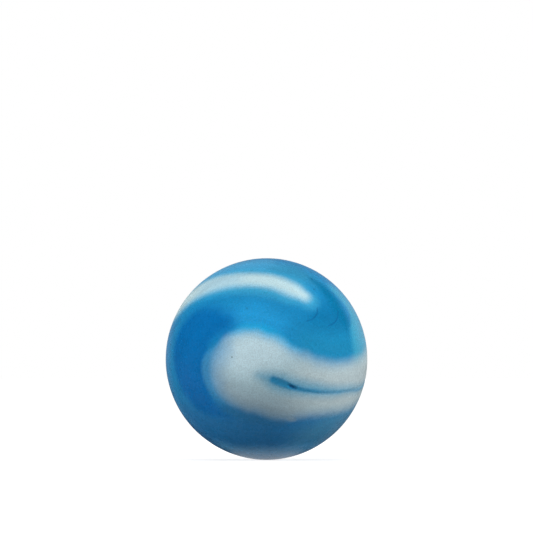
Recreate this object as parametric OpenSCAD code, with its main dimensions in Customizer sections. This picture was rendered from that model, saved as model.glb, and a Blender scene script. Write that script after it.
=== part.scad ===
// Swirled glass marble: an opaque blue ball with white and darker ribbons of
// glass folded into its skin. Each ribbon is a separate mass of glass that fills
// its own pocket in the ball, flush with the skin.
// Frame: origin at the centre of the ball, +Z up, the front of the swirl at -Y.

/* [Ball] */
// Diameter of the ball
ball_d = 25; // [16:0.5:50]

/* [White fold] */
// Width of the white fold across its broad, round end
fold_w = 10.8; // [6:0.1:13]
// Depth of the white fold under the skin
fold_depth = 3; // [1:0.1:5]

/* [Fold seam] */
// Width of the blue seam that the white fold closes on
seam_w = 0.9; // [0.4:0.1:1.6]
// Depth of the seam under the skin
seam_depth = 2.2; // [0.5:0.1:4]

/* [White crest] */
// Width of the white ribbon over the top
crest_w = 2.9; // [1.5:0.1:4]
// Depth of the white ribbon under the skin
crest_depth = 1.6; // [0.5:0.1:4]

/* [Cobalt streak] */
// Width of the dark blue streak at its middle, with the edge that the fold overlaps
cobalt_w = 6.2; // [4:0.1:7.5]
// Depth of the dark blue streak under the skin
cobalt_depth = 2; // [0.5:0.1:4]

/* [Side streak] */
// Width of the slim darker streak on the right
side_w = 2; // [0.8:0.1:2.6]
// Depth of the slim darker streak under the skin
side_depth = 1; // [0.5:0.1:3]

/* [Hidden] */
ball_r = ball_d / 2;
// Curve steps between two stations, and steps round each half of a ribbon's end
span_steps = 3;
end_steps = 6;
// The last step round an end stops short of the tip, in degrees
end_turn = 80;
// The cutters reach past the skin by this many ball radii
cutter_reach = 2;
// Turn that lays a sphere's seam down the back, clear of every ribbon
back_seam = [0, 0, 90];
// Turn that puts a sphere's pole at the front, inside the white fold, and its seam underneath
front_pole = [0, 90, 90];
// Fineness of the spheres where they are drawn as meshes
$fn = 84;

// Stations along each ribbon's centre line, from its front end to its tail:
// longitude from the front towards +X and latitude, in degrees, and the share of
// the ribbon's width there.
fold_path = [
    [-14.5, -7, 0.98], [-2, -9, 0.96], [12, -14, 0.88], [28, -17, 0.78],
    [45, -17.5, 0.7], [64, -14.5, 0.67], [88, -9, 0.65], [108, -4, 0.58],
    [126, 0, 0.46], [142, 3, 0.32], [156, 4, 0.18],
];
seam_path = [
    [4, -11.5, 1], [9, -13.5, 1.1], [15, -16, 0.9], [23, -18.5, 0.8],
    [35, -20, 0.9], [52, -19, 0.8], [76, -15.5, 0.7], [98, -9, 0.7],
    [118, -4, 0.6], [134, 0, 0.4],
];
crest_path = [
    [29, 38.5, 0.68], [21, 43, 0.93], [8, 49, 1], [-8, 52.5, 1],
    [-25, 52.5, 1], [-43, 49.5, 1.02], [-64, 42.5, 1.08], [-84, 33, 1.08],
    [-104, 21, 1], [-122, 7, 0.94], [-138, -8, 0.8], [-151, -24, 0.6],
    [-160, -40, 0.35],
];
cobalt_path = [
    [-28, 21.5, 0.58], [-36, 20, 0.8], [-43.5, 15, 0.96], [-48.5, 6, 1],
    [-50, -5, 1], [-48, -16, 0.9], [-43, -25, 0.7], [-35, -31, 0.46],
    [-26, -34.5, 0.22],
];
side_path = [
    [46, 53, 0.5], [51.5, 45, 0.9], [54, 37, 1], [55.5, 28.5, 1], [58, 20.5, 0.9],
    [59.5, 13, 0.5],
];

// Direction from the centre of the ball to a longitude and latitude
function aim(lon, lat) = [cos(lat) * sin(lon), -cos(lat) * cos(lon), sin(lat)];

function unit(v) = v / norm(v);

// Angle at the centre of the ball, in degrees, that spans a length on its skin
function skin_angle(length) = length / ball_r * 180 / PI;

// Smooth curve through b and c at share t of the way, with a and d beside them
function curve(a, b, c, d, t) =
    (2 * b + (c - a) * t + (2 * a - 5 * b + 4 * c - d) * t * t
    + (3 * b - 3 * c + d - a) * t * t * t) / 2;

// A list run on by one value at each end, along its own slope
function run_on(list) =
    let (n = len(list))
    concat([2 * list[0] - list[1]], list, [2 * list[n - 1] - list[n - 2]]);

// The smooth curve through every value of a list
function smooth(list) =
    let (p = run_on(list))
    [
        for (i = [1 : len(p) - 3], j = [0 : span_steps - 1])
            curve(p[i - 1], p[i], p[i + 1], p[i + 2], j / span_steps),
        list[len(list) - 1],
    ];

// Left and right edge of a ribbon at one place: c is the centre line's direction,
// ahead is where it is heading, half the angle of half its width, and turn swings
// both edges round towards the tip of an end.
function edges(c, ahead, half, turn) =
    let (across = unit(cross(c, ahead)), along = cross(across, c))
    [
        for (hand = [1, -1])
            c * cos(half)
            + (hand * across * cos(turn) + along * sin(turn)) * sin(half)
    ];

// Every pair of edges along a ribbon, with both ends rounded
function edge_pairs(path, width) =
    let (
        c = [for (p = smooth([for (s = path) aim(s[0], s[1])])) unit(p)],
        half = [for (share = smooth([for (s = path) s[2]])) skin_angle(share * width / 2)],
        last = len(c) - 1,
        start = c[1] - c[0],
        finish = c[last] - c[last - 1]
    )
    concat(
        [
            for (k = [end_steps : -1 : 1])
                edges(c[0], start, half[0], -end_turn * k / end_steps)
        ],
        [
            for (i = [0 : last])
                edges(c[i], c[min(i + 1, last)] - c[max(i - 1, 0)], half[i], 0)
        ],
        [
            for (k = [1 : end_steps])
                edges(c[last], finish, half[last], end_turn * k / end_steps)
        ]
    );

// A sphere about the centre of the ball, turned to keep its seam off the ribbons' edges
module globe(radius, turn = back_seam) {
    rotate(turn)
    sphere(radius);
}

// A pocket cutter: the ribbon's outline carried straight out from the centre of
// the ball, down to its floor, which is a sphere of its own depth.
module cutter(path, width, depth) {
    floor_r = ball_r - depth;
    pairs = edge_pairs(path, width);
    last = len(pairs) - 1;
    inner = floor_r / 2;
    outer = ball_r * cutter_reach;
    corners = [
        for (p = pairs)
            each [p[0] * inner, p[1] * inner, p[1] * outer, p[0] * outer]
    ];
    sides = [
        for (i = [0 : last - 1], k = [0 : 3])
            let (
                a = 4 * i + k,
                b = 4 * i + (k + 1) % 4
            )
            each [[a, b, b + 4], [a, b + 4, a + 4]]
    ];
    tips = [
        [2, 1, 0], [3, 2, 0],
        [4 * last, 4 * last + 1, 4 * last + 2], [4 * last, 4 * last + 2, 4 * last + 3],
    ];
    difference() {
        polyhedron(corners, concat(sides, tips));
        globe(floor_r);
    }
}

module fold_cutter() { cutter(fold_path, fold_w, fold_depth); }

module seam_cutter() { cutter(seam_path, seam_w, seam_depth); }

module crest_cutter() { cutter(crest_path, crest_w, crest_depth); }

module cobalt_cutter() { cutter(cobalt_path, cobalt_w, cobalt_depth); }

module side_cutter() { cutter(side_path, side_w, side_depth); }

// The blue glass, with a pocket for every ribbon
module blue_body() {
    color([0.12, 0.55, 0.77])
    difference() {
        globe(ball_r, front_pole);
        fold_cutter();
        seam_cutter();
        crest_cutter();
        cobalt_cutter();
        side_cutter();
    }
}

// The white glass doubled back on itself, closed on its seam
module white_fold() {
    color([0.76, 0.83, 0.84])
    intersection() {
        globe(ball_r);
        difference() {
            fold_cutter();
            seam_cutter();
        }
    }
}

// The sliver of blue glass caught in the fold
module fold_seam() {
    color([0.1, 0.4, 0.55])
    intersection() {
        globe(ball_r);
        seam_cutter();
    }
}

// The white ribbon over the top of the ball
module white_crest() {
    color([0.8, 0.88, 0.9])
    intersection() {
        globe(ball_r);
        crest_cutter();
    }
}

// The dark blue glass that lies against the round end of the fold
module cobalt_streak() {
    color([0.04, 0.4, 0.7])
    intersection() {
        globe(ball_r);
        difference() {
            cobalt_cutter();
            fold_cutter();
        }
    }
}

// The slim darker streak between the crest and the fold
module side_streak() {
    color([0.06, 0.48, 0.7])
    intersection() {
        globe(ball_r);
        difference() {
            side_cutter();
            fold_cutter();
        }
    }
}

blue_body();
white_fold();
fold_seam();
white_crest();
cobalt_streak();
side_streak();
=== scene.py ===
import logging
import math
from collections.abc import Callable
from dataclasses import dataclass, field
from enum import Enum
from functools import partial

import bpy
import numpy as np
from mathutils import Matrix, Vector


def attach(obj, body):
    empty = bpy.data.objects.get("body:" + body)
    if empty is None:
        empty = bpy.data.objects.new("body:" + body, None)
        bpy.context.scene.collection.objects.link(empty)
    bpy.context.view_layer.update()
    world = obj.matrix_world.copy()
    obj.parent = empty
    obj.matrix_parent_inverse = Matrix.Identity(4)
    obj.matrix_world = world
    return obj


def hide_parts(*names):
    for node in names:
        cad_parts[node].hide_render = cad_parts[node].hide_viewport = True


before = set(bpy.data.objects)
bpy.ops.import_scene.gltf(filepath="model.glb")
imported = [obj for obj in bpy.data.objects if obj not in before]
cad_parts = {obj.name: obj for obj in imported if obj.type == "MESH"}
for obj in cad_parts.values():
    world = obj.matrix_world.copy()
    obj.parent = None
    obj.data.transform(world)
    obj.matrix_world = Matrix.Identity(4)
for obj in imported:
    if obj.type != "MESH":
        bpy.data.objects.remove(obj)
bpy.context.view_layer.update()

LOG = logging.getLogger("marble")

# Lengths below are millimetres until a mesh is written, and Blender's are metres
MM = 0.001
BALL_R = 12.5
# Curve steps between two stations of a band
SPAN_STEPS = 4
# Cells along each edge of the cube that the skin's grid is blown up from
SKIN_CELLS = 112
# A grid point nearer to a ribbon's edge than this share of a cell is moved onto the edge
SNAP_SHARE = 0.22
# A direction whose height is past this takes its first tangent from X and not from Z
STEEP = 0.7
# Step, in radians, of the differences that give slopes on the skin
SLOPE_STEP = 1e-4
# Newton steps that bring a point onto an edge
SLIDE_STEPS = 2
# A point this near to an edge, in millimetres, lies on it
ON_EDGE = 1e-6
# Coats' fields are stored as shares of the edge's softness, no further out than this
FIELD_LIMIT = 4.0

Array = np.ndarray
Rgb = tuple[float, float, float]
Place = tuple[float, float, float]
Span = tuple[float, float]
Stations = tuple[tuple[float, ...], ...]
Level = Callable[[Array], Array]
Socket = bpy.types.NodeSocket


class Glass(Enum):
    """The record's material slots, one for each colour of glass."""

    BLUE = "blue_glass"
    WHITE = "white_glass"
    SEAM = "seam_glass"
    COBALT = "cobalt_glass"
    STREAK = "streak_glass"


class Lamp(Enum):
    """The soft boxes round the ball."""

    KEY = "key_light"
    BACK = "back_light"
    LEFT = "left_light"
    RIGHT = "right_light"


# Vectors and curves


def unit(vectors: Array) -> Array:
    """Each row divided by its own length."""
    return vectors / np.linalg.norm(vectors, axis=-1, keepdims=True)


def aim(lon: Array, lat: Array) -> Array:
    """Directions from the centre of the ball.

    Formula: (cos lat sin lon, -cos lat cos lon, sin lat), so longitude runs from
    the front towards +X.

    Args:
        lon: longitudes in degrees.
        lat: latitudes in degrees.

    Returns:
        One unit vector per row.
    """
    east, north = np.radians(lon), np.radians(lat)
    level = np.cos(north)
    return np.stack([level * np.sin(east), -level * np.cos(east), np.sin(north)], axis=-1)


def smooth_curve(values: Array, steps: int) -> Array:
    """A smooth curve through every row of a table.

    Formula: the uniform Catmull-Rom cubic on each four neighbouring rows, with the
    table run on by one row at each end along its own slope.

    Args:
        values: one row per station.
        steps: curve points per span.

    Returns:
        The curve's rows, the last station among them.
    """
    run_on = np.vstack([2 * values[0] - values[1], values, 2 * values[-1] - values[-2]])
    spans = (run_on[:-3], run_on[1:-2], run_on[2:-1], run_on[3:])
    a, b, c, d = (rows[:, None, :] for rows in spans)
    t = (np.arange(steps) / steps)[None, :, None]
    curve = (
        2 * b
        + (c - a) * t
        + (2 * a - 5 * b + 4 * c - d) * t**2
        + (3 * b - 3 * c + d - a) * t**3
    ) / 2
    return np.vstack([curve.reshape(-1, values.shape[1]), values[-1:]])


def tangents(directions: Array) -> tuple[Array, Array]:
    """Two unit vectors along the skin at each direction, square to each other.

    Formula: the first is the cross product with Z, or with X near the poles, and the
    second the cross product of both.

    Args:
        directions: unit vectors.

    Returns:
        The two tables of unit vectors.
    """
    steep = np.abs(directions[:, 2:]) > STEEP
    pole = np.where(steep, np.array([1.0, 0.0, 0.0]), np.array([0.0, 0.0, 1.0]))
    first = unit(np.cross(pole, directions))
    return first, np.cross(directions, first)


def slope(directions: Array, level: Level) -> tuple[Array, Array]:
    """A level on the skin and its slope there.

    Formula: forward differences along the two tangents, per radian.

    Args:
        directions: unit vectors.
        level: the function of direction.

    Returns:
        The level, and its slope as a vector along the skin.
    """
    here = level(directions)
    rise = np.zeros_like(directions)
    for along in tangents(directions):
        there = level(unit(directions + SLOPE_STEP * along))
        rise += ((there - here) / SLOPE_STEP)[:, None] * along
    return here, rise


def slide(directions: Array, level: Level) -> Array:
    """Directions moved along the skin onto a level's zero line.

    Formula: Newton steps against the slope, whose square counts as 1 at least.

    Args:
        directions: unit vectors close to the line.
        level: the function of direction.

    Returns:
        The moved unit vectors.
    """
    for _ in range(SLIDE_STEPS):
        here, rise = slope(directions, level)
        steepness = np.maximum((rise**2).sum(1), 1.0)
        directions = unit(directions - (here / steepness)[:, None] * rise)
    return directions


def ease(share: Array) -> Array:
    """The smooth step 3t^2 - 2t^3 from 0 to 1, with t held to that range."""
    t = np.clip(share, 0.0, 1.0)
    return t * t * (3 - 2 * t)


# Ribbons of glass


@dataclass(frozen=True)
class Band:
    """A line on the skin with a width, round at both ends.

    Stations are longitude, latitude and share of the width, and then whatever a kind
    of band adds to them.
    """

    name: str
    width: float
    stations: Stations

    def line(self) -> Array:
        """The centre line's directions, with the stations' other columns beside them.

        Returns:
            One row per point of the line.
        """
        table = np.array(self.stations, float)
        rows = np.column_stack([aim(table[:, 0], table[:, 1]), table[:, 2:]])
        curve = smooth_curve(rows, SPAN_STEPS)
        curve[:, :3] = unit(curve[:, :3])
        return curve

    def nearest(self, directions: Array) -> tuple[Array, Array, Array]:
        """Where each direction lies by the centre line.

        Formula: the arc to the nearest point of the line, the sign of the triple
        product with the line's heading, which is positive to the left of it, and the
        stations' other columns at that point.

        Args:
            directions: unit vectors.

        Returns:
            Arcs in millimetres, signs, and a row per column of the stations.
        """
        line = self.line()
        centre = line[:, :3]
        chord = np.full(len(directions), np.inf)
        place, hand = np.zeros(len(directions)), np.zeros(len(directions))
        for i in range(len(centre) - 1):
            start, ahead = centre[i], centre[i + 1] - centre[i]
            t = np.clip((directions - start) @ ahead / (ahead @ ahead), 0.0, 1.0)
            far = np.linalg.norm(directions - start - t[:, None] * ahead, axis=1)
            nearer = far < chord
            chord = np.where(nearer, far, chord)
            place = np.where(nearer, i + t, place)
            hand = np.where(nearer, np.sign(directions @ np.cross(start, ahead)), hand)
        arc = 2 * BALL_R * np.arcsin(np.clip(chord / 2, 0.0, 1.0))
        steps = np.arange(len(centre))
        return arc, hand, np.stack([np.interp(place, steps, c) for c in line[:, 3:].T])

    def gap(self, directions: Array) -> Array:
        """The distance past the edge in millimetres, negative inside."""
        arc, _, there = self.nearest(directions)
        return arc - there[0] * self.width / 2


@dataclass(frozen=True, kw_only=True)
class Ribbon(Band):
    """A mass of coloured glass that fills its own pocket, named as its CAD node."""

    glass: Glass
    depth: float
    under_fold: bool = False


@dataclass(frozen=True, kw_only=True)
class Coat(Band):
    """A colour that fades out at its edge, laid over the coats before it.

    Its stations add the softness of the edge, in millimetres.
    """

    colour: Rgb
    strength: float = 1.0

    def past_edge(self, directions: Array) -> Array:
        """The distance past the edge as a share of the edge's softness.

        Args:
            directions: unit vectors.

        Returns:
            Shares, held to the limit that is stored.
        """
        arc, _, (share, softness) = self.nearest(directions)
        gap = arc - share * self.width / 2
        return np.clip(gap / softness, -FIELD_LIMIT, FIELD_LIMIT)


@dataclass(frozen=True)
class Dot:
    """A small dark chip or speck, round, with its place as longitude and latitude."""

    lon: float
    lat: float
    radius: float
    strength: float
    colour: Rgb = (0.01, 0.09, 0.2)

    @property
    def place(self) -> Place:
        """Its middle on the skin, in metres."""
        return tuple(aim(np.array(self.lon), np.array(self.lat)) * BALL_R * MM)


FOLD = Ribbon("white_fold", width=10.8, depth=3.0, glass=Glass.WHITE, stations=(
    (-14.5, -7, 0.98), (-2, -9, 0.96), (12, -14, 0.88), (28, -17, 0.78),
    (45, -17.5, 0.7), (64, -14.5, 0.67), (88, -9, 0.65), (108, -4, 0.58),
    (126, 0, 0.46), (142, 3, 0.32), (156, 4, 0.18),
))

SEAM = Ribbon("fold_seam", width=0.9, depth=2.2, glass=Glass.SEAM, stations=(
    (4, -11.5, 1), (9, -13.5, 1.1), (15, -16, 0.9), (23, -18.5, 0.8), (35, -20, 0.9),
    (52, -19, 0.8), (76, -15.5, 0.7), (98, -9, 0.7), (118, -4, 0.6), (134, 0, 0.4),
))

CREST = Ribbon("white_crest", width=2.9, depth=1.6, glass=Glass.WHITE, stations=(
    (29, 38.5, 0.68), (21, 43, 0.93), (8, 49, 1), (-8, 52.5, 1), (-25, 52.5, 1),
    (-43, 49.5, 1.02), (-64, 42.5, 1.08), (-84, 33, 1.08), (-104, 21, 1),
    (-122, 7, 0.94), (-138, -8, 0.8), (-151, -24, 0.6), (-160, -40, 0.35),
))

COBALT = Ribbon("cobalt_streak", width=6.2, depth=2, glass=Glass.COBALT, under_fold=True, stations=(
    (-28, 21.5, 0.58), (-36, 20, 0.8), (-43.5, 15, 0.96), (-48.5, 6, 1),
    (-50, -5, 1), (-48, -16, 0.9), (-43, -25, 0.7), (-35, -31, 0.46),
    (-26, -34.5, 0.22),
))

SIDE = Ribbon("side_streak", width=2.0, depth=1.0, glass=Glass.STREAK, under_fold=True, stations=(
    (46, 53, 0.5), (51.5, 45, 0.9), (54, 37, 1), (55.5, 28.5, 1), (58, 20.5, 0.9),
    (59.5, 13, 0.5),
))

RIBBONS = (SEAM, FOLD, CREST, COBALT, SIDE)

# Colours, each laid over the one before it
BLUE = (0.01, 0.262, 0.557)

# Tints in the blue, with painted shade and painted reflections among them, laid on before the white
BLUE_COATS = (
    # Painted shade: a darker blue over the lower half, where less light falls
    Coat("under_shade", width=12.0, colour=(0.02, 0.203, 0.475), stations=(
        (-80, -43, 0.7, 3), (-40, -50, 1, 3), (0, -56, 1, 3), (40, -54, 1, 3), (80, -48, 0.9, 3),
    )),
    Coat("under_right", width=8.0, colour=(0.06, 0.26, 0.45), strength=0.9, stations=(
        (40, -49, 0.5, 2.5), (56, -44, 0.9, 2.5), (78, -36, 1, 2.5),
    )),
    # Painted reflection of the white floor: a pale band round the bottom
    Coat("floor_reflection", width=5.0, colour=(0.15, 0.49, 0.81), strength=0.85, stations=(
        (-55, -62, 0.5, 1.6), (-20, -72, 0.95, 1.6), (10, -73.5, 1, 1.6), (40, -69, 0.95, 1.6),
        (64, -64, 0.6, 1.6),
    )),
    # Painted reflection: a pale veil over the top of the ball
    Coat("top_reflection", width=5.4, colour=(0.075, 0.425, 0.745), strength=0.9, stations=(
        (-75, 55, 1, 1.8), (-40, 65, 1, 2), (-5, 67, 1, 2), (12, 65, 0.5, 2),
    )),
    Coat("crown", width=4.0, colour=(0.04, 0.312, 0.53), strength=0.8, stations=(
        (14, 62, 0.5, 1.8), (32, 58, 1, 1.8), (46, 50, 0.5, 1.6),
    )),
    Coat("sky_tongue", width=4.2, colour=(0.018, 0.36, 0.752), strength=0.95, stations=(
        (-19, 24, 0.7, 1.5), (-9, 24, 1, 1.7), (1, 22, 0.8, 1.7), (6, 20, 0.5, 1.5),
    )),
    Coat("right_blue", width=5.0, colour=(0.003, 0.186, 0.412), strength=0.9, stations=(
        (30, 20, 0.6, 1.8), (38, 22, 1, 1.9), (48, 22.5, 1.05, 1.8),
    )),
    Coat("right_low", width=4.0, colour=(0.012, 0.266, 0.492), strength=0.8, stations=(
        (25, 8, 0.8, 2.5), (45, 6, 1, 2.5), (70, 8, 1, 2.5),
    )),
    # Painted rim reflection: a pale band down the right limb
    Coat("right_rim_reflection", width=9.4, colour=(0.045, 0.385, 0.595), strength=0.9, stations=(
        (66, 42.5, 0.2, 0.9), (78, 33.5, 0.54, 0.9), (82, 22, 0.9, 0.85), (81, 11, 0.99, 0.85),
        (81, 3, 1, 0.9),
    )),
    # Painted rim reflection: a pale band down the left limb
    Coat("left_rim_reflection", width=5.2, colour=(0.05, 0.325, 0.65), strength=0.9, stations=(
        (-70, -40, 0, 1), (-79, -25, 0.45, 1.1), (-84, -9, 0.92, 1.1), (-87, 8, 1.1, 1.1),
        (-95, 15, 1.1, 1.3), (-108, 6, 0.8, 1.5), (-122, -8, 0.5, 1.6), (-134, -24, 0.1, 1.5),
    )),
    Coat("right_back", width=6.0, colour=BLUE, stations=(
        (98, 48, 1, 3.5), (104, 32, 1, 3.5), (108, 12, 1, 3.5), (110, -2, 1, 3.5),
    )),
    Coat("side", width=2.0, colour=(0.0, 0.183, 0.385), strength=0.9, stations=(
        (46, 51.5, 0.35, 0.8), (51, 45, 0.85, 0.8), (53.3, 37, 1, 0.8), (54.6, 28.5, 1, 0.75),
        (56.2, 21.5, 0.65, 0.75), (57, 16.5, 0.15, 0.8),
    )),
    Coat("cobalt", width=6.2, colour=(0.0, 0.162, 0.465), stations=(
        (-27, 20.5, 0.5, 1.6), (-36, 20, 0.8, 1.4), (-45, 15.5, 1.04, 1), (-51, 6, 1.08, 0.8),
        (-51, -5, 1, 0.9), (-47.5, -16, 0.84, 1), (-43, -25, 0.56, 1), (-35, -31, 0.25, 1),
        (-26, -34.5, 0.08, 1),
    )),
    Coat("cobalt_low", width=3.6, colour=(0.003, 0.165, 0.485), strength=0.9, stations=(
        (-53, -7, 0.4, 1.4), (-51, -14, 1, 1.2), (-45, -23, 0.8, 1.1), (-38, -29, 0.4, 1),
    )),
    Coat("fold_veil", width=2.0, colour=(0.055, 0.29, 0.555), strength=0.8, stations=(
        (-22, 14, 0.2, 0.6), (-26, 8, 0.4, 0.6), (-33, 0, 1, 0.4), (-35, -5, 1, 0.4),
        (-34.5, -10.5, 1, 0.4), (-32.5, -16, 0.95, 0.5), (-27.5, -21.5, 0.9, 0.6),
        (-20, -26, 0.6, 0.7),
    )),
    Coat("fold_tip", width=0.7, colour=(0.2, 0.33, 0.45), strength=0.7, stations=(
        (15, -36.2, 0.4, 0.3), (18, -36.5, 1, 0.3), (20.5, -36.8, 0.6, 0.25),
    )),
    Coat("under_edge", width=1.6, colour=(0.025, 0.175, 0.365), strength=0.7, stations=(
        (-26, -30, 0.7, 0.9), (-12, -34, 1, 0.9), (0, -36, 0.8, 0.9), (12, -38.5, 0.5, 0.9),
    )),
    Coat("fold_fringe", width=2.0, colour=(0.01, 0.47, 0.85), strength=0.9, stations=(
        (-19, 13.5, 0.3, 0.9), (-13, 15, 0.8, 0.8), (-5, 14.5, 1, 0.8), (3, 11, 1, 0.8),
        (9, 8.5, 0.7, 0.8), (14, 6.2, 0.25, 0.8), (19, 4.6, 0, 0.8),
    )),
    Coat("crest_fringe", width=4.6, colour=(0.055, 0.425, 0.695), strength=0.9, stations=(
        (30, 36.5, 0.6, 1), (22, 42, 0.95, 1), (8, 47.5, 1, 1), (-8, 50.5, 1, 1), (-25, 51, 1, 1),
        (-43, 48.5, 0.9, 1), (-64, 43, 0.95, 1), (-82, 33, 1, 1),
    )),
)

FOLD_WHITE = (0.42, 0.6, 0.67)

# The white glass
WHITE_COATS = (
    Coat("crest_white", width=2.6, colour=(0.56, 0.78, 0.84), stations=(
        (28, 38.7, 0.55, 0.85), (21, 43.2, 0.85, 0.95), (8, 48.9, 0.89, 0.9), (-8, 51.7, 0.91, 0.9),
        (-25, 51.6, 0.87, 1), (-43, 49.6, 0.89, 1.2), (-64, 43.6, 1.13, 1.1),
        (-84, 32.4, 1.31, 1.2), (-104, 21, 1.1, 1.1), (-122, 7, 1.1, 1), (-138, -8, 0.9, 0.9),
        (-151, -24, 0.7, 0.8), (-160, -40, 0.4, 0.7),
    )),
    Coat("fold_white", width=8.8, colour=FOLD_WHITE, stations=(
        (-10.5, -6.8, 1.005, 1.2), (-2, -9.7, 1.025, 1.3), (5, -12.8, 0.955, 1.2),
        (12, -15.3, 0.94, 1.25), (20, -16.5, 0.892, 1.3), (28, -17.4, 0.775, 1.35),
        (45, -17.4, 0.675, 1.3), (64, -15, 0.68, 1.3), (88, -9.2, 0.67, 1.4), (108, -4, 0.6, 1.4),
        (126, 0, 0.48, 1.3), (142, 3, 0.33, 1.1), (156, 4, 0.18, 0.9),
    )),
    Coat("fold_shoulder", width=2.0, colour=FOLD_WHITE, strength=0.4, stations=(
        (-22.5, 9.6, 0.7, 0.75), (-15, 10.8, 0.86, 1), (-7, 11.3, 0.78, 1.1),
    )),
)

# Tints in the white, one of them partly painted shade
WHITE_TINTS = (
    Coat("crest_blue", width=3.2, colour=(0.425, 0.66, 0.775), strength=0.9, stations=(
        (-32, 51.5, 0.7, 1.3), (-45, 49, 1, 1.3), (-57, 45, 0.8, 1.3),
    )),
    Coat("fold_bright", width=6.0, colour=(0.6, 0.8, 0.88), strength=0.95, stations=(
        (-13, 3, 0.8, 2.2), (-6, 5, 1, 2.2), (1, 4, 0.7, 2.2),
    )),
    # Greyer, darker white over the fold's lower part: partly the glass's own grey, partly painted
    # shade
    Coat("fold_low_shade", width=3.0, colour=(0.3, 0.41, 0.485), strength=0.75, stations=(
        (-31, -8, 0.6, 2), (-26, -18, 0.9, 2), (-14, -26, 1, 1.8), (0, -28.5, 1, 1.8),
        (12, -30, 0.9, 1.8), (22, -31, 0.6, 1.6),
    )),
    Coat("fold_left", width=2.0, colour=(0.07, 0.34, 0.66), strength=0.95, stations=(
        (-26, 17, 0.3, 1.6), (-29.5, 10.5, 1.6, 2.2), (-36, 1.5, 1.5, 3), (-38.5, -5, 1.4, 3),
        (-37.5, -13, 1.2, 3), (-34.5, -21.5, 1.1, 2.4), (-27, -28, 0.6, 1.8),
    )),
    Coat("fold_edge", width=1.0, colour=(0.17, 0.27, 0.34), strength=0.6, stations=(
        (-30, -19, 0.5, 1.1), (-23.5, -24, 1, 1.1), (-14, -28, 1, 1.1), (-5, -31, 1, 1.1),
        (5, -33.5, 1, 1.1), (14.5, -35.5, 1, 1.1), (24, -36, 0.5, 1),
    )),
    Coat("fold_right", width=8.0, colour=(0.48, 0.58, 0.605), strength=0.9, stations=(
        (28, -15, 0.7, 3), (46, -16.5, 1, 3), (64, -15, 1, 3), (88, -9, 1, 3), (108, -4, 1, 3),
    )),
    Coat("seam_halo", width=2.2, colour=(0.14, 0.385, 0.55), strength=0.97, stations=(
        (-4, -9.5, 0.3, 1), (2, -11.5, 0.8, 1), (8, -13.6, 1.05, 0.9), (14, -15.3, 1, 0.9),
        (21, -16.5, 0.9, 0.9), (30, -17.5, 0.78, 0.9), (44, -18.4, 0.6, 0.9), (60, -17.4, 0.4, 0.9),
        (76, -16.5, 0.4, 0.9), (98, -10, 0.3, 0.9),
    )),
)

PIT = Coat("pit", width=0.3, colour=(0.003, 0.06, 0.21), strength=0.9, stations=(
    (13.2, -14.9, 0.6, 0.16), (15, -15.8, 1, 0.16), (17.2, -16.8, 0.7, 0.18),
))

# The seam and the pit in it
TOP_COATS = (
    Coat("seam", width=0.9, colour=(0.018, 0.232, 0.45), stations=(
        (4, -11.7, 1, 0.3), (9, -13.6, 1.1, 0.25), (14, -15.5, 0.92, 0.25), (21, -17.4, 0.66, 0.3),
        (29, -18.5, 0.5, 0.35), (42, -19.2, 0.25, 0.4), (60, -18.2, 0.02, 0.4), (76, -17.2, 0, 0.4),
        (98, -9.5, 0.1, 0.4), (118, -4.2, 0.1, 0.4), (134, 0, 0.1, 0.4),
    )),
    PIT,
)

COATS = (*BLUE_COATS, *WHITE_COATS, *WHITE_TINTS, *TOP_COATS)

# Fine bruises and scuffs from play, drawn as thin dark lines
MARKS = (
    Band("moon_near", 0.06, (
        (35.2, 29.8, 1), (33.6, 26.4, 1), (30.9, 24.1, 1), (27.9, 22.5, 1), (25.2, 22, 1),
    )),
    Band("moon_far", 0.06, (
        (53.1, 28.2, 1), (50.6, 25.1, 1), (47.6, 22.1, 1), (44, 20.2, 1), (40.3, 19.1, 1),
    )),
    Band("scuff", 0.09, ((58.6, 41.3, 1), (60.4, 39.8, 1))),
)

# Specks and chips
DOTS = (
    Dot(-19.8, 1.05, 0.14, 0.85, (0.03, 0.1, 0.14)),
    Dot(-12.8, 29.8, 0.16, 0.4),
    Dot(40.3, 43.4, 0.2, 0.55),
    Dot(46.9, 52.2, 0.24, 0.5),
    Dot(58.5, 58.8, 0.24, 0.5),
)


# The skin of the ball


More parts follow.
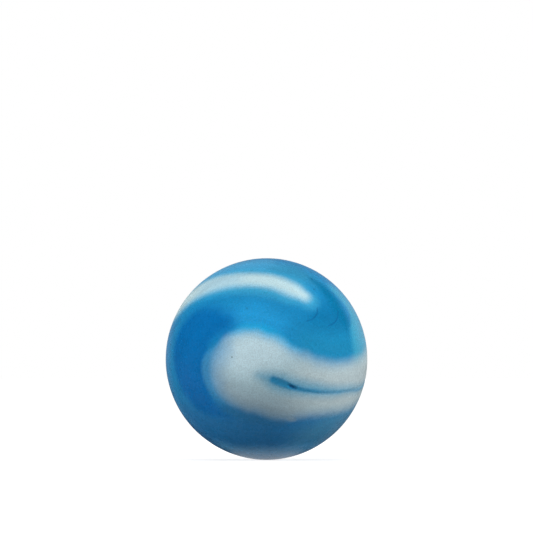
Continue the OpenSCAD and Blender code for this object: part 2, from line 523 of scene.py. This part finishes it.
@dataclass
class Skin:
    """The ball's skin as triangles that follow every ribbon's edge."""

    directions: Array
    faces: Array
    on_edge: Array = field(init=False)

    def __post_init__(self) -> None:
        """Starts with no point on any edge."""
        self.on_edge = np.zeros(len(self.directions), bool)

    @classmethod
    def blown_cube(cls, cells: int) -> "Skin":
        """The grid before any edge is cut into it.

        Formula: each side of a cube has a grid of whole-number places, and a place
        p of 0 to n along an axis stands at tan((p / n - 1/2) 90 degrees). The unit
        vector of the three is the direction, so the cells are nearly even in size.

        Args:
            cells: cells along each edge of the cube.

        Returns:
            The skin with the points that sides share merged.
        """
        places = np.arange(cells + 1)
        a, b = np.meshgrid(places, places, indexing="ij")
        sides = []
        for axis in range(3):
            for end in (0, cells):
                lattice = np.empty((cells + 1, cells + 1, 3), int)
                lattice[..., axis] = end
                lattice[..., (axis + 1) % 3] = a
                lattice[..., (axis + 2) % 3] = b
                sides.append(lattice)
        grid = np.stack(sides)
        points, index = np.unique(grid.reshape(-1, 3), axis=0, return_inverse=True)
        index = index.reshape(grid.shape[:3])
        p, q = index[:, :-1, :-1], index[:, 1:, :-1]
        r, s = index[:, 1:, 1:], index[:, :-1, 1:]
        faces = np.concatenate(
            [np.stack(corners, -1).reshape(-1, 3) for corners in ((p, q, r), (p, r, s))]
        )
        directions = unit(np.tan((points / cells - 0.5) * math.pi / 2))
        corners = directions[faces]
        normal = np.cross(corners[:, 1] - corners[:, 0], corners[:, 2] - corners[:, 0])
        inward = (normal * corners[:, 0]).sum(1) < 0
        faces[inward] = faces[inward][:, ::-1]
        return cls(directions, faces)

    def cut(self, level: Level) -> None:
        """Cuts a ribbon's edge into the triangles.

        Formula: points close to the zero line slide onto it. Every triangle that the
        line still crosses is split where its edges meet the line: in three where it
        cuts one corner off, and in two where it runs through a corner.

        Args:
            level: the function of direction whose zero line is the edge.
        """
        here = level(self.directions)
        cell = BALL_R * math.pi / 2 / SKIN_CELLS
        close = (np.abs(here) < SNAP_SHARE * cell) & ~self.on_edge
        self.directions[close] = slide(self.directions[close], level)
        here[close] = 0.0
        side = np.where(np.abs(here) < ON_EDGE, 0, np.sign(here)).astype(int)
        self.on_edge |= side == 0
        signs = side[self.faces]
        crossed = (signs.min(1) < 0) & (signs.max(1) > 0)
        through = crossed & (signs == 0).any(1)
        plain = crossed & ~through
        lone = signs[plain] == -signs[plain].sum(1, keepdims=True)
        a, b, c = self.turned(plain, lone.argmax(1)).T
        z, x, y = self.turned(through, (signs[through] == 0).argmax(1)).T
        pairs = np.concatenate([np.stack(ends, 1) for ends in ((a, b), (a, c), (x, y))])
        edges, index = np.unique(np.sort(pairs, axis=1), axis=0, return_inverse=True)
        first, second = edges.T
        share = (here[first] / (here[first] - here[second]))[:, None]
        start, end = self.directions[first], self.directions[second]
        made = slide(unit(start + share * (end - start)), level)
        index = index.reshape(-1) + len(self.directions)
        on_ab, on_ac, on_xy = np.split(index, [len(a), 2 * len(a)])
        pieces = (
            (a, on_ab, on_ac), (on_ab, b, c), (on_ab, c, on_ac), (z, x, on_xy), (z, on_xy, y)
        )
        self.faces = np.concatenate(
            [self.faces[~crossed], *(np.stack(corners, 1) for corners in pieces)]
        )
        self.directions = np.vstack([self.directions, made])
        self.on_edge = np.concatenate([self.on_edge, np.ones(len(made), bool)])

    def turned(self, chosen: Array, first: Array) -> Array:
        """The corners of chosen triangles, in turning order from a given corner of each."""
        order = (first[:, None] + np.arange(3)) % 3
        return np.take_along_axis(self.faces[chosen], order, axis=1)


@dataclass(frozen=True)
class Relief:
    """How far the skin lies under the true sphere, in millimetres."""

    everywhere: float = 0.006
    groove: float = 0.05
    pit: float = 0.16
    pit_reach: float = 0.3
    wave: float = 0.012
    # Three waves over the ball, each with its turns along the axes and its phase
    wave_turns: Stations = ((5.1, 2.3, 3.7), (-2.9, 4.7, 4.1), (3.3, -4.3, 5.9))
    wave_phases: tuple[float, ...] = (0.4, 1.9, 3.1)

    def depth(self, directions: Array) -> Array:
        """The relief's depth at each direction.

        Formula: a small depth everywhere, a slow wave of the whole skin that is the
        mean of three sines, from 0 to its height, a groove that eases in across the
        seam, and a pit that eases in over a short reach about its outline.

        Args:
            directions: unit vectors.

        Returns:
            Depths, none below zero.
        """
        turns = directions @ np.array(self.wave_turns).T
        slow = self.wave * (1 + np.sin(turns + self.wave_phases).mean(1)) / 2
        seam = self.groove * ease(-SEAM.gap(directions) / (SEAM.width / 2))
        pit = self.pit * ease(0.5 - PIT.gap(directions) / self.pit_reach)
        return self.everywhere + slow + seam + pit

    def normals(self, directions: Array) -> tuple[Array, Array]:
        """Depths, and normals leant from the direction by the depth's slope over the radius."""
        depth, rise = slope(directions, self.depth)
        return depth, unit(directions + rise / (BALL_R - depth)[:, None])


# Finishes


class Sheet:
    """A material's node tree, with short calls that add nodes and link them."""

    def __init__(self, owner: bpy.types.Material | bpy.types.World) -> None:
        """Starts an empty tree.

        Args:
            owner: the material or the world.
        """
        owner.use_nodes = True
        self.tree = owner.node_tree
        self.tree.nodes.clear()

    def node(
        self, kind: str, feeds: dict[str | int, object] | None = None, **settings: object
    ) -> bpy.types.bpy_prop_collection:
        """Adds a node and feeds it.

        Args:
            kind: Blender's name for the node, without its ShaderNode prefix.
            feeds: for inputs by name or number, the output to link or a plain value.
            settings: the node's own properties.

        Returns:
            The node's outputs.
        """
        made = self.tree.nodes.new("ShaderNode" + kind)
        for name, value in settings.items():
            setattr(made, name, value)
        for key, value in (feeds or {}).items():
            if isinstance(value, Socket):
                self.tree.links.new(value, made.inputs[key])
            else:
                made.inputs[key].default_value = value
        return made.outputs

    def fact(self, name: str) -> Socket:
        """The value of one of the mesh's own fields."""
        return self.node("Attribute", attribute_name=name)["Fac"]

    def maths(self, operation: str, *values: object) -> Socket:
        """A Math node's result on one, two or three values."""
        return self.node("Math", dict(enumerate(values)), operation=operation)[0]

    def vector(self, operation: str, *values: object, out: str = "Vector") -> Socket:
        """A Vector Math node's result, which is a number where out is Value."""
        return self.node("VectorMath", dict(enumerate(values)), operation=operation)[out]

    def towards(self, facing: Socket, target: Place) -> Socket:
        """The cosine between a unit vector and a fixed direction."""
        return self.vector("DOT_PRODUCT", facing, tuple(unit(np.array(target))), out="Value")

    def ramp(self, value: Socket, span: Span, ends: Span) -> Socket:
        """A smooth step of a value over a span, from the first of two ends to the second."""
        feeds = dict(enumerate((value, *span, *ends)))
        return self.node("MapRange", feeds, interpolation_type="SMOOTHSTEP")[0]

    def noise(self, place: Socket, scale: float, detail: float) -> Socket:
        """A noise texture's value, read at a place, with a scale and octaves."""
        return self.node("TexNoise", {"Vector": place, "Scale": scale, "Detail": detail})["Fac"]

    def mix(self, share: object, under: object, over: object, blend: str = "MIX") -> Socket:
        """A share of one colour laid over another."""
        feeds = {0: share, 6: under, 7: over}
        return self.node("Mix", feeds, data_type="RGBA", blend_type=blend)[2]

    def glow(self, strength: Socket) -> Socket:
        """White light of its own."""
        return self.node("Emission", {"Strength": strength})[0]

    def mirrored(self, path: bpy.types.bpy_prop_collection) -> Socket:
        """1 where a Light Path node's outputs say that gloss or clear glass sees the surface."""
        return self.maths("MAXIMUM", path["Is Glossy Ray"], path["Is Transmission Ray"])

    def close(self, kind: str, surface: Socket) -> None:
        """Ends the tree in the output of a material or the world."""
        self.node("Output" + kind, {"Surface": surface})


def paint(colour: Rgb) -> tuple[float, float, float, float]:
    """A colour with full cover, as a socket takes it."""
    return (*colour, 1.0)


@dataclass(frozen=True)
class GlassFinish:
    """Opaque swirled glass with a satin gloss from handling."""

    glass: Glass
    roughness: Span = (0.24, 0.32)
    ior: float = 1.5
    # How far noise moves a coat's edge to and fro, as a share of its softness
    fray: float = 0.3
    # The span of a noise's values that is used
    noise_span: Span = (0.3, 0.7)
    grain_scale: float = 7000.0
    grain_detail: float = 2.0
    grain_light: Span = (0.88, 1.12)
    streak_scale: float = 0.55
    streak_detail: float = 3.0
    streak_light: Span = (0.96, 1.04)
    peel_scale: float = 900.0
    peel_detail: float = 3.0
    peel_height: float = 0.004 * MM
    mark_colour: Rgb = (0.002, 0.09, 0.27)
    mark_share: float = 0.55
    # Where a mark fades out beside its line and round its ends, in millimetres
    mark_side: Span = (0.03, 0.13)
    mark_end: Span = (0.0, 0.35)

    @property
    def name(self) -> str:
        """The material's name, apart from those that came with the frame."""
        return "swirled_" + self.glass.value

    def material(self) -> bpy.types.Material:
        """The finish as a Blender material.

        The colour is laid on in coats: the blue and its tints, with painted shade and
        painted reflections among them, the white and its tints, one of them partly
        painted shade, the seam and the marks. Each coat's edge is a smooth step on the
        mesh's own field for that coat, frayed by a little noise.

        Returns:
            The material.
        """
        made = bpy.data.materials.new(self.name)
        made.diffuse_color = paint(BLUE)
        sheet = Sheet(made)
        place = sheet.node("TexCoord")["Object"]
        peel = sheet.noise(place, self.peel_scale, self.peel_detail)
        fray = sheet.maths("MULTIPLY_ADD", peel, self.fray, -self.fray / 2)
        colour = self.lights(sheet, self.coats(sheet, fray), place)
        colour, bruise = self.bruises(sheet, colour)
        height = sheet.maths("SUBTRACT", peel, bruise)
        looks = {
            "Base Color": self.dots(sheet, colour, place),
            "Roughness": sheet.ramp(peel, self.noise_span, self.roughness),
            "IOR": self.ior,
            "Normal": sheet.node("Bump", {"Height": height, "Distance": self.peel_height})[0],
        }
        sheet.close("Material", sheet.node("BsdfPrincipled", looks)[0])
        return made

    def coats(self, sheet: Sheet, fray: Socket) -> Socket:
        """Lays the coats of colour on.

        Args:
            sheet: the tree.
            fray: noise that frays each edge, as a share of its softness.

        Returns:
            The colour.
        """
        colour: object = paint(BLUE)
        white: object = 0.0
        for coat in COATS:
            edge = sheet.maths("ADD", sheet.fact(coat.name), fray)
            share = sheet.ramp(edge, (-1.0, 1.0), (coat.strength, 0.0))
            if coat in WHITE_COATS:
                white = sheet.maths("MAXIMUM", white, share)
            if coat in WHITE_TINTS:
                share = sheet.maths("MULTIPLY", share, white)
            colour = sheet.mix(share, colour, paint(coat.colour))
        return colour

    def lights(self, sheet: Sheet, colour: Socket, place: Socket) -> Socket:
        """Makes the colour lighter and darker in fine grain and in slow streaks.

        The streaks run along the ribbons, because their noise is read at the
        distances from the fold and from the crest.

        Args:
            sheet: the tree.
            colour: the colour so far.
            place: the place on the ball.

        Returns:
            The colour.
        """
        flow = sheet.node("CombineXYZ", {0: sheet.fact("fold_mm"), 1: sheet.fact("crest_mm")})
        streak = sheet.noise(flow[0], self.streak_scale, self.streak_detail)
        grain = sheet.noise(place, self.grain_scale, self.grain_detail)
        slow = sheet.ramp(streak, self.noise_span, self.streak_light)
        fine = sheet.ramp(grain, self.noise_span, self.grain_light)
        tone = sheet.maths("MULTIPLY", slow, fine)
        grey = sheet.node("CombineXYZ", {axis: tone for axis in range(3)})
        return sheet.mix(1.0, colour, grey[0], blend="MULTIPLY")

    def bruises(self, sheet: Sheet, colour: Socket) -> tuple[Socket, Socket]:
        """Draws the thin marks that play has left.

        Args:
            sheet: the tree.
            colour: the colour so far.

        Returns:
            The colour with the marks, and how much of a mark lies at each place.
        """
        across = sheet.maths("ABSOLUTE", sheet.fact("mark_side"))
        line = sheet.ramp(across, self.mark_side, (1.0, 0.0))
        reach = sheet.ramp(sheet.fact("mark_gap"), self.mark_end, (1.0, 0.0))
        mark = sheet.maths("MULTIPLY", line, reach)
        share = sheet.maths("MULTIPLY", mark, self.mark_share)
        return sheet.mix(share, colour, paint(self.mark_colour)), mark

    def dots(self, sheet: Sheet, colour: Socket, place: Socket) -> Socket:
        """Draws the specks and chips, each full to half its radius and gone at the whole.

        Args:
            sheet: the tree.
            colour: the colour so far.
            place: the place on the ball.

        Returns:
            The colour.
        """
        for dot in DOTS:
            away = sheet.vector("DISTANCE", place, dot.place, out="Value")
            reach = dot.radius * MM
            share = sheet.ramp(away, (reach / 2, reach), (dot.strength, 0.0))
            colour = sheet.mix(share, colour, paint(dot.colour))
        return colour


def put_in(name: str, data: bpy.types.ID) -> bpy.types.Object:
    """Puts a mesh, a lamp or a camera in the scene.

    Args:
        name: the object's name.
        data: what it holds.

    Returns:
        The object.
    """
    made = bpy.data.objects.new(name, data)
    bpy.context.scene.collection.objects.link(made)
    return made


# The ball


@dataclass
class MarbleBall:
    """The ball: its skin, the lens of glass in each pocket, and the blue round them."""

    relief: Relief = field(default_factory=Relief)
    # A lens of glass reaches its full depth this many depths in from its edge
    lens_reach: float = 1.4
    skin: Skin = field(init=False)
    # The ribbon that each triangle belongs to, and how deep its pocket is at each point
    owner: Array = field(init=False)
    sink: Array = field(init=False)
    # Normals, places on the skin and places on the pockets' floors
    normals: Array = field(init=False)
    outside: Array = field(init=False)
    inside: Array = field(init=False)
    fields: dict[str, Array] = field(init=False)
    made: list[bpy.types.Object] = field(default_factory=list)

    def build(self) -> list[bpy.types.Object]:
        """Builds and dresses every piece of glass.

        Returns:
            The pieces.
        """
        self.skin = Skin.blown_cube(SKIN_CELLS)
        for ribbon in RIBBONS:
            self.skin.cut(partial(self.region, ribbon))
        self.share_out()
        self.sink_lenses()
        depth, self.normals = self.relief.normals(self.skin.directions)
        radius = BALL_R - depth
        self.outside = self.skin.directions * radius[:, None] * MM
        self.inside = self.skin.directions * (radius - self.sink)[:, None] * MM
        self.fields = self.measure_fields()
        self.body()
        for number, ribbon in enumerate(RIBBONS):
            self.lens(number, ribbon)
        return self.made

    @staticmethod
    def region(ribbon: Ribbon, directions: Array) -> Array:
        """The distance past a ribbon's visible edge.

        Formula: the larger of its own distance and, for a ribbon that dips under the
        fold, the distance into the fold, so it is negative only where the ribbon shows.

        Args:
            ribbon: the ribbon.
            directions: unit vectors.

        Returns:
            Distances in millimetres.
        """
        own = ribbon.gap(directions)
        return np.maximum(own, -FOLD.gap(directions)) if ribbon.under_fold else own

    def share_out(self) -> None:
        """Gives each triangle to the first ribbon that covers its middle, or to the blue.

        A triangle whose corners all lie on its ribbon's rim would have no depth, so it
        goes to the blue as well.
        """
        middle = unit(self.skin.directions[self.skin.faces].mean(1))
        self.owner = np.full(len(middle), len(RIBBONS))
        for number in reversed(range(len(RIBBONS))):
            self.owner[self.region(RIBBONS[number], middle) < 0] = number
        for number in range(len(RIBBONS)):
            flat = (self.owner == number) & self.rim(number)[self.skin.faces].all(1)
            self.owner[flat] = len(RIBBONS)

    def rim(self, number: int) -> Array:
        """Which points lie on the edge between an owner's triangles and the rest.

        Args:
            number: the owner.

        Returns:
            One truth value per point.
        """
        here = np.zeros(len(self.skin.directions), bool)
        there = here.copy()
        here[self.skin.faces[self.owner == number]] = True
        there[self.skin.faces[self.owner != number]] = True
        return here & there

    def sink_lenses(self) -> None:
        """Works out how deep each pocket lies under the skin.

        Formula: a quarter of an ellipse from no depth at the ribbon's edge to its full
        depth a few depths in, on the distance to the nearest edge of that ribbon.
        """
        self.sink = np.zeros(len(self.skin.directions))
        for number, ribbon in enumerate(RIBBONS):
            within = np.zeros(len(self.sink), bool)
            within[self.skin.faces[self.owner == number]] = True
            within &= ~self.rim(number)
            place = self.skin.directions[within]
            gap = self.region(ribbon, place)
            if ribbon is FOLD:
                gap = np.maximum(gap, -SEAM.gap(place))
            share = np.clip(-gap / (self.lens_reach * ribbon.depth), 0.0, 1.0)
            self.sink[within] = ribbon.depth * np.sqrt(1 - (1 - share) ** 2)

    def measure_fields(self) -> dict[str, Array]:
        """The fields that the finishes read.

        Formula: each coat's distance past its edge over the edge's softness, the
        plain distances from the fold and the crest, and for the marks the distance
        and the signed distance of whichever mark is nearest.

        Returns:
            Values per point of the skin, by name.
        """
        place = self.skin.directions
        fields = {coat.name: coat.past_edge(place) for coat in COATS}
        fields["fold_mm"] = FOLD.gap(place)
        fields["crest_mm"] = CREST.gap(place)
        marks = [mark.nearest(place) for mark in MARKS]
        gaps = np.stack([arc for arc, _, _ in marks])
        sides = np.stack([arc * hand for arc, hand, _ in marks])
        nearest = gaps.argmin(0)[None]
        fields["mark_gap"] = np.take_along_axis(gaps, nearest, 0)[0]
        fields["mark_side"] = np.take_along_axis(sides, nearest, 0)[0]
        return fields

    def body(self) -> None:
        """The blue glass: the whole skin, sunk to a pocket's floor under each ribbon."""
        every = np.arange(len(self.skin.directions))
        self.add("blue_body", Glass.BLUE, self.inside, self.skin.faces, every, self.normals)

    def lens(self, number: int, ribbon: Ribbon) -> None:
        """A ribbon's own glass: its patch of skin closed by the pocket's floor.

        Args:
            number: the ribbon's place in the order.
            ribbon: the ribbon.
        """
        faces = self.skin.faces[self.owner == number]
        used, index = np.unique(faces, return_inverse=True)
        patch = index.reshape(faces.shape)
        inner = np.flatnonzero(self.sink[used] > 0)
        below = np.arange(len(used))
        below[inner] = len(used) + np.arange(len(inner))
        closed = np.concatenate([patch, below[patch][:, ::-1]])
        source = np.concatenate([used, used[inner]])
        points = np.vstack([self.outside[used], self.inside[used[inner]]])
        normals = self.normals[used]
        corners = np.concatenate([normals[patch], -normals[patch[:, ::-1]]]).reshape(-1, 3)
        self.add(ribbon.name, ribbon.glass, points, closed, source, corners)

    def add(
        self,
        node: str,
        glass: Glass,
        points: Array,
        faces: Array,
        source: Array,
        normals: Array,
    ) -> None:
        """Makes one piece of glass from whole arrays.

        Args:
            node: the CAD node that it stands for, which also names it.
            glass: its glass.
            points: its points in metres.
            faces: its triangles.
            source: the skin's point that each of its points takes its fields from.
            normals: unit normals, per point or per corner.
        """
        mesh = bpy.data.meshes.new(node + "_glass")
        mesh.vertices.add(len(points))
        mesh.vertices.foreach_set("co", points.astype(np.float32).ravel())
        mesh.loops.add(faces.size)
        mesh.loops.foreach_set("vertex_index", faces.astype(np.int32).ravel())
        mesh.polygons.add(len(faces))
        mesh.polygons.foreach_set("loop_start", np.arange(0, faces.size, 3, dtype=np.int32))
        mesh.update(calc_edges=True)
        mesh.shade_smooth()
        if len(normals) == len(points):
            mesh.normals_split_custom_set_from_vertices(normals.tolist())
        else:
            mesh.normals_split_custom_set(normals.tolist())
        for name, values in self.fields.items():
            held = mesh.attributes.new(name, "FLOAT", "POINT")
            held.data.foreach_set("value", values[source].astype(np.float32))
        finish = GlassFinish(glass)
        mesh.materials.append(bpy.data.materials.get(finish.name) or finish.material())
        piece = put_in(mesh.name, mesh)
        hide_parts(node)
        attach(piece, "root")
        self.made.append(piece)


# The studio


@dataclass(frozen=True)
class SoftBox:
    """A square soft light that faces the centre of the ball and doesn't show in its gloss."""

    lamp: Lamp
    towards: Place
    level: float
    distance: float = 0.26
    size: float = 0.2

    def light(self) -> None:
        """Makes the lamp.

        Formula: a lamp of power pi^2 d^2 E gives a white surface that faces it at
        distance d a brightness of E.
        """
        place = unit(np.array(self.towards)) * self.distance
        data = bpy.data.lights.new(self.lamp.value, "AREA")
        data.size = self.size
        data.energy = math.pi**2 * self.distance**2 * self.level
        data.cycles.use_multiple_importance_sampling = False
        made = put_in(self.lamp.value, data)
        made.location = place
        made.rotation_euler = Vector(-place).to_track_quat("-Z", "Y").to_euler()
        made.visible_glossy = False


@dataclass(frozen=True)
class Studio:
    """A white floor and backdrop, soft light from all sides and the camera."""

    boxes: tuple[SoftBox, ...] = (
        SoftBox(Lamp.KEY, (0.0, -0.68, 0.73), 0.8, distance=0.3, size=0.34),
        SoftBox(Lamp.BACK, (0.0, 0.77, 0.64), 0.5),
        SoftBox(Lamp.LEFT, (-0.985, -0.05, 0.16), 0.38, size=0.1),
        SoftBox(Lamp.RIGHT, (0.985, -0.05, 0.16), 0.55, size=0.1),
    )
    ambient: float = 0.21
    # Walls in the ball's gloss: in front, and behind from the dim side to the bright side.
    # Each cone is the span of cosines over which a thing comes in
    front_wall: float = 0.015
    back_wall: Span = (0.16, 0.2)
    wall_cone: Span = (0.62, 0.95)
    bright_towards: Place = (0.7, 0.0, 0.7)
    bright_lean: Span = (-0.5, 0.5)
    # White paper straight behind, and a window
    paper: float = 0.5
    paper_cone: Span = (0.95, 0.99)
    window: float = 0.4
    window_towards: Place = (0.5, 0.86, 0.1)
    window_cone: Span = (0.9, 0.97)
    # The floor's disc, in metres, and its paper
    floor_half: float = 4.0
    floor_rings: int = 48
    floor_spokes: int = 64
    floor_albedo: float = 0.35
    floor_lift: float = 0.12
    # How white the floor looks, from near the ball to far off
    floor_glow: Span = (0.75, 1.0)
    glow_reach: Span = (0.01, 0.25)
    # How much of the studio the floor gives back in the ball's gloss, from near to far off
    floor_gloss: Span = (0.25, 0.6)
    gloss_reach: Span = (0.01, 0.2)
    # The bright spot of floor under the ball
    floor_glint: float = 0.55
    glint_reach: Span = (0.0025, 0.006)
    # The floor behind the ball in its gloss, from the left to the right
    floor_behind: Span = (0.05, 0.11)
    behind_from: Span = (-0.001, 0.004)
    behind_sides: Span = (-0.005, 0.005)
    # Pixels along the photograph's side, across the ball and from the middle down to its centre
    photo_px: float = 533.0
    ball_px: float = 201.8
    below_px: float = 92.5
    camera_away: float = 1.0
    camera_far: float = 50.0
    sensor: float = 36.0

    def build(self) -> None:
        """Makes the floor, the world, the lamps and the camera."""
        self.floor()
        self.world()
        for box in self.boxes:
            box.light()
            LOG.info("lamp %s", box.lamp.value)
        self.camera()
        bpy.context.scene.view_settings.view_transform = "Standard"

    def floor(self) -> None:
        """The floor under the ball.

        Formula: rings round the point of rest, their radii growing by even steps of
        the square, on a fan of even angles.
        """
        radii = self.floor_half * (np.arange(1, self.floor_rings + 1) / self.floor_rings) ** 2
        turn = np.linspace(0.0, 2 * math.pi, self.floor_spokes, endpoint=False)
        ring, angle = np.meshgrid(radii, turn, indexing="ij")
        level = np.full_like(ring, -BALL_R * MM)
        points = np.stack([ring * np.cos(angle), ring * np.sin(angle), level], -1).reshape(-1, 3)
        points = np.vstack([points, [0.0, 0.0, -BALL_R * MM]])
        index = np.arange(ring.size).reshape(ring.shape)
        after = np.roll(index, -1, axis=1)
        quads = np.stack([index[:-1], index[1:], after[1:], after[:-1]], -1).reshape(-1, 4)
        hub = np.stack([np.full(self.floor_spokes, ring.size), index[0], after[0]], -1)
        mesh = bpy.data.meshes.new("floor")
        mesh.from_pydata(points.tolist(), [], quads.tolist() + hub.tolist())
        mesh.materials.append(self.floor_paper())
        put_in("floor", mesh)

    def floor_paper(self) -> bpy.types.Material:
        """Pale paper: it takes the ball's shadow, and shows white to the eye and in gloss.

        Returns:
            The material.
        """
        made = bpy.data.materials.new("floor_paper")
        sheet = Sheet(made)
        path = sheet.node("LightPath")
        place = sheet.node("TexCoord")["Object"]
        level = sheet.vector("MULTIPLY", place, (1.0, 1.0, 0.0))
        away = sheet.vector("LENGTH", level, out="Value")
        seen = sheet.ramp(away, self.glow_reach, self.floor_glow)
        white = sheet.maths("MULTIPLY", path["Is Camera Ray"], seen)
        bright = sheet.glow(sheet.maths("MAXIMUM", white, self.floor_lift))
        matt = sheet.node("BsdfDiffuse", {"Color": paint((self.floor_albedo,) * 3)})[0]
        lit = sheet.node("AddShader", {0: matt, 1: bright})[0]
        shine = sheet.glow(self.floor_shine(sheet, place, away))
        either = sheet.node("MixShader", {0: sheet.mirrored(path), 1: lit, 2: shine})[0]
        sheet.close("Material", either)
        return made

    def floor_shine(self, sheet: Sheet, place: Socket, away: Socket) -> Socket:
        """What the ball's gloss shows of the floor.

        Args:
            sheet: the tree.
            place: the place on the floor.
            away: its distance from the point of rest.

        Returns:
            The brightness.
        """
        share = sheet.ramp(away, self.gloss_reach, self.floor_gloss)
        sweep = self.sweep(sheet, sheet.vector("NORMALIZE", place))
        glint = sheet.ramp(away, self.glint_reach, (self.floor_glint, 0.0))
        split = sheet.node("SeparateXYZ", {0: place})
        behind = sheet.ramp(split["Y"], self.behind_from, (0.0, 1.0))
        side = sheet.ramp(split["X"], self.behind_sides, self.floor_behind)
        back = sheet.maths("MULTIPLY", behind, side)
        gloss = sheet.maths("MAXIMUM", sheet.maths("MULTIPLY", share, sweep), glint)
        return sheet.maths("MAXIMUM", gloss, back)

    def sweep(self, sheet: Sheet, facing: Socket) -> Socket:
        """What gloss shows of the studio: walls, a window and white paper straight behind.

        Args:
            sheet: the tree.
            facing: the direction looked in, as a unit vector.

        Returns:
            The brightness.
        """
        behind = sheet.towards(facing, (0.0, 1.0, 0.0))
        lean = sheet.towards(facing, self.bright_towards)
        back = sheet.ramp(lean, self.bright_lean, self.back_wall)
        share = sheet.ramp(behind, self.wall_cone, (0.0, 1.0))
        gain = sheet.maths("SUBTRACT", back, self.front_wall)
        walls = sheet.maths("MULTIPLY_ADD", share, gain, self.front_wall)
        paper = sheet.ramp(behind, self.paper_cone, (0.0, self.paper))
        pane = sheet.towards(facing, self.window_towards)
        window = sheet.ramp(pane, self.window_cone, (0.0, self.window))
        return sheet.maths("MAXIMUM", sheet.maths("MAXIMUM", walls, paper), window)

    def world(self) -> None:
        """The surroundings: white to the eye, the studio in the gloss, dim light elsewhere."""
        world = bpy.data.worlds.new("studio")
        bpy.context.scene.world = world
        sheet = Sheet(world)
        path = sheet.node("LightPath")
        sweep = self.sweep(sheet, sheet.node("TexCoord")["Generated"])
        gain = sheet.maths("SUBTRACT", sweep, self.ambient)
        light = sheet.maths("MULTIPLY_ADD", sheet.mirrored(path), gain, self.ambient)
        level = sheet.maths("MAXIMUM", path["Is Camera Ray"], light)
        back = sheet.node("Background", {"Color": paint((1.0, 1.0, 1.0)), "Strength": level})
        sheet.close("World", back[0])

    def camera(self) -> None:
        """The camera, level with the ball's centre and tipped up so that the ball sits low.

        Formula: one pixel is the ball's diameter over its pixels, the lens spans all the
        pixels at that size, and the tilt puts the centre the right number of them down.
        """
        pixel = 2 * BALL_R * MM / self.ball_px
        data = bpy.data.cameras.new("camera")
        data.sensor_width = self.sensor
        data.lens = self.sensor * self.camera_away / (pixel * self.photo_px)
        data.clip_end = self.camera_far
        made = put_in("camera", data)
        made.location = (0.0, -self.camera_away, 0.0)
        tilt = math.atan(self.below_px * pixel / self.camera_away)
        made.rotation_euler = (math.pi / 2 + tilt, 0.0, 0.0)
        bpy.context.scene.camera = made


def main() -> None:
    """Builds the ball and the studio and reports each piece."""
    logging.basicConfig(level=logging.INFO, format="%(name)s: %(message)s")
    for piece in MarbleBall().build():
        LOG.info("%s: %d triangles", piece.name, len(piece.data.polygons))
    Studio().build()


if __name__ == "__main__":
    main()
